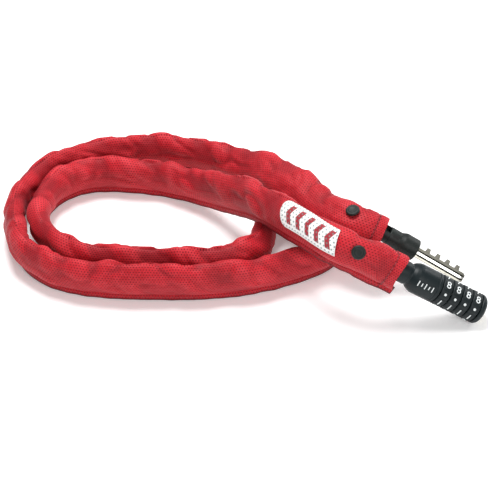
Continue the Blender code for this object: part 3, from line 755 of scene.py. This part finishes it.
def make_hem_stitches(way):
    """A ring of stitches round the tube near each mouth."""
    frames = []
    pitch = 2.6
    for end in (HEM_FROM_MOUTH, way.length - HEM_FROM_MOUTH):
        section = outline(way.at(end)[4], 0.0)
        forward, up, side = way.attitude(end)
        centre = way.point(end) - ORIGIN
        last, position = -math.inf, 0.0
        for (h, n), (h2, n2) in zip(section[6:-6], section[7:-5]):
            position += math.dist((h, n), (h2, n2))
            if position - last < pitch:
                continue
            last = position
            tangent = (up * (h2 - h) + side * (n2 - n)).normalized()
            out = tangent.cross(forward).normalized()
            if out.dot(up * h + side * n) < 0:
                out = -out
            slide = mouth_slide(way, end, h, n, way.at(end)[4]) * (-1 if end < way.length / 2 else 1)
            place = centre + up * h + side * n - out * 0.25 + forward * slide
            frames.append(placed(tangent, forward, out, place))
    thread = thread_material("hem_thread", (0.35, 0.015, 0.03))
    return beads("hem_stitches", frames, (0.95, 0.3, 0.3), thread, "root")


# ------------------------------------------------------------------ label and studs

def make_label(way):
    """The patch follows the sleeve's side; its back end is rounded and slanted."""
    columns, lines = 36, 14
    sign_at = way.front(LABEL_START + LABEL_LENGTH / 2)
    low, high = LABEL_LOW, LABEL_HIGH

    def spot(i, j):
        t = j / lines
        h = low + (high - low) * t
        reach = LABEL_LENGTH - 5.0 * (1 - math.sqrt(max(0.0, 1 - (2 * t - 1)**2)))
        start = LABEL_START + 2.5 * t
        return start + (reach - 2.5) * i / columns, h

    faces = []
    for lift in (LABEL_LIFT, LABEL_LIFT + LABEL_THICK):
        faces.append([[surface_frame(way, *spot(i, j), sign_at, lift).translation * MM
                       for j in range(lines + 1)] for i in range(columns + 1)])
    builder = bmesh.new()

    def cloth(i, j):
        distance, h = spot(i, j)
        return (distance - LABEL_START) * MM, (h - low) * MM

    top = grid(builder, faces[1], wrap_columns=False, coordinates=cloth)
    bottom = grid(builder, faces[0], wrap_columns=False)
    rim = [top[0], [r[-1] for r in top], top[-1][::-1], [r[0] for r in top][::-1]]
    under = [bottom[0], [r[-1] for r in bottom], bottom[-1][::-1], [r[0] for r in bottom][::-1]]
    for edge, lower in zip(rim, under):
        for k in range(len(edge) - 1):
            builder.faces.new((edge[k], edge[k + 1], lower[k + 1], lower[k]))
    patch = finish_mesh("label", builder, label_material(), "root", ("label_patch",), 50)
    frames = []
    inset = 0.9
    edge_spots = [spot(0, j) for j in range(0, lines + 1)]
    edge_spots += [spot(i, lines) for i in range(1, columns + 1)]
    edge_spots += [spot(columns, j) for j in range(lines - 1, -1, -1)]
    edge_spots += [spot(i, 0) for i in range(columns - 1, 0, -1)]
    middle = (LABEL_START + LABEL_LENGTH / 2, (low + high) / 2)
    for distance, h in edge_spots:
        towards = Vector((middle[0] - distance, (middle[1] - h) * 2.5)).normalized()
        frames.append(surface_frame(way, distance + towards.x * inset, h + towards.y * inset,
                                    sign_at, LABEL_LIFT + LABEL_THICK))
    stitches = beads("label_stitches", frames, (0.55, 0.28, 0.22),
                     thread_material("thread_white", (0.7, 0.7, 0.7)), "root")
    return [patch, stitches]


def make_chain(links, steel):
    """The whole chain as one piece, with its links smooth-shaded."""
    builder = bmesh.new()
    for name in links:
        builder.from_mesh(frame["nodes"][name].data)
    bmesh.ops.remove_doubles(builder, verts=builder.verts, dist=1e-6)
    return finish_mesh("chain_run", builder, steel, "root", links, angle=75)


def make_stud(number, way, distance, level, material):
    """A ribbed rivet head on the sleeve's side, with its shank in the cloth."""
    matrix = surface_frame(way, distance, level, way.front(distance))
    base = 0.5
    heights = [(0.05, 1.7), (1.4, 1.72), (2.4, 1.95), (3.0, 1.5), (3.5, 1.75), (4.2, 1.7), (4.8, 1.1),
               (5.0, 0.4), (4.8, 0.0), (1.2, 0.0), (1.2, -3.0), (0.05, -3.0)]
    profile = [(radius, base + height) for radius, height in heights]
    return turned(f"stud_{number}", rounded(profile, 0.3, 2), matrix, material, "root",
                  (f"stud_cap_{number}",), steps=40, angle=50)


# ------------------------------------------------------------------ lock barrel

def lock_matrix():
    """The barrel's frame: Z from its shoulder to its tip."""
    return local_axes(LOCK_AXIS, Vector((0, 0, 1)).cross(LOCK_AXIS), LOCK_SHOULDER)


def pin_matrix():
    """The pin end's frame: Z along the blade, from the face that it leaves, and Y towards its teeth."""
    return local_axes(PIN_AXIS, TEETH_TOWARDS.cross(PIN_AXIS), PIN_FACE)


def turn_towards(matrix, direction):
    """The angle about a frame's axis that faces a direction."""
    local = matrix.to_3x3().inverted() @ direction
    return math.atan2(local.y, local.x)


def make_fork(name, matrix, joint, radius, top, rear, material, body):
    """Two ears that hold the chain's last link, on both sides of its slot."""
    axis = Vector(next(j["axis"] for j in frame["joints"] if j["name"] == joint))
    turned_to = turn_towards(matrix, axis)
    spread = math.acos(FORK_HALF / radius)
    levels = ((top, 1.0), (rear + 3.0, 1.0), (rear + 1.2, 0.96), (rear + 0.3, 0.86), (rear, 0.78))
    builder = bmesh.new()
    for side in (0, math.pi):
        rows = []
        for z, size in levels:
            row = []
            for i in range(15):
                around = turned_to + side + spread * (i / 7 - 1) * size
                reach = radius * (0.4 + 0.6 * size)
                row.append(polar(reach, around, z))
            chord = [row[-1].lerp(row[0], k / 4) for k in range(1, 4)]
            rows.append([matrix @ p * MM for p in row + chord])
        close_ends(builder, grid(builder, rows))
    return finish_mesh(name, builder, material, body, angle=40)


def make_barrel(matrix, metal):
    """The housing behind the dials: a collar, a tapered shoulder, a grooved neck and the fork."""
    radius, neck, front = BARREL_RADIUS, NECK_RADIUS, DIALS_START - DIAL_GAP
    hollow = [(0.05, 16.2), (8.2, 16.2), (8.2, front), (radius - 0.5, front), (radius, front - 0.5)]
    collar = [(radius, front - 2.4), (radius - 0.22, front - 2.6), (radius - 0.22, front - 3.0),
              (radius, front - 3.2)]
    shoulder = [(radius, 8.8), (10.3, 6.9), (9.2, 4.6), (neck + 0.15, 3.2), (neck - 0.35, 2.7)]
    root = [(neck - 0.35, 1.4), (neck, 0.9), (neck, -7.4), (6.6, -8.8), (6.6, -9.4), (0.05, -9.4)]
    profile = rounded(hollow + collar + shoulder + root, 0.3, 2)
    turned("barrel", profile, matrix, metal, "lock", ("lock_shell",), steps=96, angle=30)
    make_fork("barrel_fork", matrix, "lock_swing", EAR_RADIUS, -9.2, -22.0, metal, "lock")


def dial_wobble(r, z, turn):
    """Shallow flutes between the nine number places on a dial's rim."""
    if r < BARREL_RADIUS - 1.2:
        return 0.0
    phase = math.cos(turn * DIAL_PLACES)
    return -0.28 * max(0.0, -phase)**3


def make_dial(number, matrix, metal, paint):
    """One fluted number ring with its digits."""
    low = DIALS_START + DIAL_PITCH * (number - 1) + DIAL_GAP
    high = low + DIAL_PITCH - 2 * DIAL_GAP
    body = f"dial_{number}"
    turn_start = turn_towards(matrix, FRONT_AND_UP) - math.radians(31)
    shifted = matrix @ Matrix.Rotation(turn_start, 4, "Z")
    radius, edge = BARREL_RADIUS, 0.55
    profile = [(CODE_RADIUS, high), (radius - edge, high), (radius, high - edge), (radius, low + edge),
               (radius - edge, low), (CODE_RADIUS, low), (CODE_RADIUS, high)]
    profile = rounded(profile, 0.3, 3)[:-1]
    turned(f"dial_rim_{number}", profile, shifted, metal, body, (f"number_ring_{number}",),
           closed=True, steps=144, wobble=dial_wobble, angle=30)
    make_digits(number, shifted, (low + high) / 2, body, paint)


def make_glyph(text, size):
    """One thin character, as a bmesh centred on its middle."""
    curve = bpy.data.curves.new("glyph", "FONT")
    curve.body = text
    curve.size = size
    curve.resolution_u = 3
    curve.extrude = PRINT_HALF
    guide = bpy.data.objects.new("glyph", curve)
    bpy.context.scene.collection.objects.link(guide)
    mesh = bpy.data.meshes.new_from_object(guide.evaluated_get(bpy.context.evaluated_depsgraph_get()))
    bpy.data.objects.remove(guide)
    bpy.data.curves.remove(curve)
    builder = bmesh.new()
    builder.from_mesh(mesh)
    bpy.data.meshes.remove(mesh)
    xs = [v.co.x for v in builder.verts]
    ys = [v.co.y for v in builder.verts]
    middle = Vector(((min(xs) + max(xs)) / 2, (min(ys) + max(ys)) / 2, 0))
    bmesh.ops.translate(builder, vec=-middle, verts=builder.verts)
    return builder


def make_digits(number, matrix, z, body, paint):
    """Digits 1 to 8 and a dot in the ninth place, wrapped on the rim."""
    joined = bmesh.new()
    for k in range(DIAL_PLACES):
        turn = 2 * math.pi * k / DIAL_PLACES
        digit = (k - 2) % DIAL_PLACES + 1
        if digit == DIAL_PLACES:
            glyph = bmesh.new()
            bmesh.ops.create_cone(glyph, cap_ends=True, segments=20, radius1=0.95, radius2=0.9,
                                  depth=2 * PRINT_HALF)
        else:
            glyph = make_glyph(str(digit), 7.4)
            bmesh.ops.triangulate(glyph, faces=glyph.faces)
            bmesh.ops.subdivide_edges(glyph, edges=glyph.edges, cuts=2, use_grid_fill=True)
        for v in glyph.verts:
            around = turn - v.co.y / BARREL_RADIUS
            radius = BARREL_RADIUS + PRINT_HALF * 0.6 + v.co.z
            v.co = matrix @ polar(radius, around, z + v.co.x) * MM
        part = bpy.data.meshes.new("part")
        glyph.to_mesh(part)
        glyph.free()
        joined.from_mesh(part)
        bpy.data.meshes.remove(part)
    return finish_mesh(f"dial_digits_{number}", joined, paint, body, angle=60)


def make_end_cap(matrix, metal):
    """The rounded nose in front of the dials, with a pocket for the keyway plate."""
    back, pocket = 57.25, 60.4
    rim = BARREL_RADIUS - PLATE_RADIUS - 0.6
    curve = [(BARREL_RADIUS - rim + rim * math.sin(t), LOCK_LENGTH - rim + rim * math.cos(t))
             for t in (math.pi * i / 24 for i in range(13))]
    profile = [(4.1, pocket), (PLATE_RADIUS + 0.25, pocket), (PLATE_RADIUS + 0.25, LOCK_LENGTH - 0.2),
               *curve, (BARREL_RADIUS, back + 0.4), (BARREL_RADIUS - 0.4, back), (5.3, back),
               (5.3, pocket - 1), (4.1, pocket - 1)]
    return turned("nose", profile, matrix, metal, "lock", ("end_cap",), closed=True, steps=96,
                  angle=30)


def make_ticks(matrix, paint):
    """A short row of plain tick marks printed along the barrel."""
    builder = bmesh.new()
    outside, inside, half = BARREL_RADIUS + 0.04, BARREL_RADIUS - 0.05, 0.35
    corners = ((outside, -half), (outside, half), (inside, half), (inside, -half))
    facing = turn_towards(matrix, FRONT_AND_UP) + math.radians(15)
    for k, height in enumerate((2.6, 1.6, 2.6, 1.6, 2.6)):
        z = 8.0 + 2.8 * k
        rows = []
        for i in range(9):
            around = facing + (i / 8 - 0.5) * height / BARREL_RADIUS * 1.5
            rows.append([matrix @ polar(r, around, z + w) * MM for r, w in corners])
        close_ends(builder, grid(builder, rows))
    return finish_mesh("barrel_ticks", builder, paint, "lock", angle=60)


# ------------------------------------------------------------------ pin end

def make_pin(matrix, plastic):
    """The moulded barrel that holds the blade, its flared neck and its fork."""
    profile = [(0.05, -0.9), (4.6, -0.9), (4.9, 0.0), (PIN_RADIUS - 0.8, 0.0), (PIN_RADIUS, -0.8),
               (PIN_RADIUS, -10.2), (7.75, -11.4), (7.1, -12.8), (PIN_NECK, -14.4), (PIN_NECK, -22.4),
               (PIN_EAR, -22.9), (0.05, -22.9)]
    turned("pin_barrel", rounded(profile, 0.35, 3), matrix, plastic, "pin", ("pin_cap",),
           steps=96, angle=35)
    make_fork("pin_fork", matrix, "pin_swing", PIN_EAR, -22.6, -35.0, plastic, "pin")


def make_pin_slot(matrix, dark):
    """A near-black patch on the neck that stands for a short moulded notch, on the side that faces up and to the
    front; its darkness is painted shade for the notch's hollow.
    """
    facing = turn_towards(matrix, FRONT_AND_UP) - math.radians(12)
    rows = []
    for i in range(7):
        z = -20.4 + 4.6 * i / 6
        wide = 0.9 if i in (0, 6) else 1.25
        corners = ((0.05, -wide), (0.07, 0.0), (0.05, wide), (-0.4, wide), (-0.4, -wide))
        rows.append([matrix @ polar(PIN_NECK + lift, facing + a / PIN_NECK, z) * MM for lift, a in corners])
    builder = bmesh.new()
    close_ends(builder, grid(builder, rows))
    return finish_mesh("pin_notch", builder, dark, "pin", angle=50)


BLADE_LENGTH, BLADE_ROOT, BLADE_BOTTOM, BLADE_TOP, BLADE_HALF = 39.5, 4.0, -4.2, 3.3, 1.5
TEETH, TOOTH_TOP, TOOTH_LENGTH = (8.0, 16.0, 24.0, 32.0), 6.1, 2.8


def blade_section(z):
    """Half of the blade's section at a distance from the pin's face: (up, out, colour of the strip); the groove
    strips take a near-black copy of the steel, painted shade in the grooves.
    """
    end = max(0.0, (z - (BLADE_LENGTH - 2.6)) / 2.6)
    tip = 1 - 0.35 * end * end
    nearest = min(abs(t - z) for t in TEETH)
    tooth = min(1.0, max(0.0, (TOOTH_LENGTH / 2 + 0.25 - nearest) / 0.5))
    top = (BLADE_TOP + (TOOTH_TOP - BLADE_TOP) * tooth) * tip
    flat, deep = BLADE_HALF * (1 - 0.3 * end), BLADE_HALF - 0.75
    # the groove strips get the near-black groove colour: painted shade in the grooves
    pale, rib, groove, flank = range(4)
    return [(BLADE_BOTTOM * tip, flat - 0.35, pale), ((BLADE_BOTTOM + 0.35) * tip, flat, pale),
            (-2.6 * tip, flat, groove), (-2.45 * tip, deep, groove), (-1.45 * tip, deep, groove),
            (-1.3 * tip, flat, rib), (0.3 * tip, flat, groove), (0.45 * tip, deep, groove),
            (1.3 * tip, deep, groove), (1.45 * tip, flat, flank), (2.95 * tip, flat, flank),
            (3.1 * tip, flat - 0.2, flank), (top - 0.2, flat - 0.3, flank), (top, flat - 0.5, flank)]


def make_blade(matrix, finishes):
    """Flat blade with two grooves a side and four teeth, bevelled at its edges."""
    stops = sorted({0.0, -BLADE_ROOT, BLADE_LENGTH} | {BLADE_LENGTH - k for k in (0.4, 0.9, 1.6, 2.6)}
                   | {t + d * (TOOTH_LENGTH / 2 + e) for t in TEETH for d in (-1, 1) for e in (-0.25, 0.25)})
    rows = []
    for z in stops:
        half = blade_section(z)
        ring = [(h, n) for h, n, _ in half] + [(h, -n) for h, n, _ in reversed(half)]
        rows.append([matrix @ Vector((n, h, z)) * MM for h, n in ring])
    strips = [finish for *_, finish in half]
    strips += [finish for *_, finish in reversed(half[:-1])] + [strips[0]]
    builder = bmesh.new()
    made = grid(builder, rows)
    # each strip gets its own colour; the near-black one on the groove strips is painted shade
    builder.faces.ensure_lookup_table()
    for index, face in enumerate(builder.faces):
        face.material_index = strips[index % len(strips)]
    close_ends(builder, made)
    blade = finish_mesh("blade", builder, finishes[0], "pin", ("locking_blade",), angle=25)
    for finish in finishes[1:]:
        blade.data.materials.append(finish)
    return blade


def main():
    """Stages the scene, then makes the sleeve, the lock and the pin end."""
    make_camera()
    make_studio()
    make_floor()

    way = Way(ROUTE)
    plastic = moulded_material()
    metal = coated_material("coat_blue_black", (0.0045, 0.0088, 0.0102), 0.33, (0.04, 0.05, 0.05))
    dial_metal = coated_material("coat_dial", (0.004, 0.0078, 0.009), 0.35, (0.035, 0.045, 0.045))
    steel = steel_material("blade_steel", (0.80, 0.79, 0.74), 0.16)
    # blade_groove_shade is a near-black copy of the steel: painted shade for the blade's recessed grooves
    blade_colours_with_groove_shade = [steel_material("blade_pale", (0.52, 0.50, 0.43), 0.3), steel,
                      steel_material("blade_groove_shade", (0.035, 0.035, 0.03), 0.5),
                      steel_material("blade_flank", (0.17, 0.165, 0.14), 0.38)]
    link_steel = steel_material("link_steel", (0.36, 0.36, 0.37), 0.35)
    plate_brass = steel_material("plate_brass", (0.80, 0.70, 0.50), 0.3)
    paint = paint_material()

    sleeve = make_sleeve(way)
    extras = [make_seam_stitches(way), make_hem_stitches(way), *make_label(way),
              make_stud(1, way, STUD_ON_LOCK_END - 1.5, 7.0, plastic),
              make_stud(2, way, way.length - STUD_ON_PIN_END, 4.5, plastic)]
    links = [name for name in frame["nodes"] if name.startswith("chain_links")]
    extras.append(make_chain(links, link_steel))

    lock = lock_matrix()
    make_barrel(lock, metal)
    for number in range(1, DIALS + 1):
        make_dial(number, lock, dial_metal, paint)
    make_end_cap(lock, metal)
    make_ticks(lock, paint)
    make_pin(pin_matrix(), plastic)
    # the notch is a slightly raised near-black patch: painted shade standing in for a hollow
    make_pin_slot(pin_matrix(), steel_material("notch_painted_shade", (0.004, 0.004, 0.004), 0.7, 0.0))
    make_blade(pin_matrix(), blade_colours_with_groove_shade)

    finishes = {"bright_steel": steel, "chain_steel": link_steel, "brass": plate_brass,
                "dark_metal": metal, "black_plastic": plastic}
    slots = {part["node"]: part["material_slot"] for part in frame["record"]["subparts"]}
    for name, node in frame["nodes"].items():
        if slots[name] in finishes:
            node.data.materials.clear()
            node.data.materials.append(finishes[slots[name]])


main()
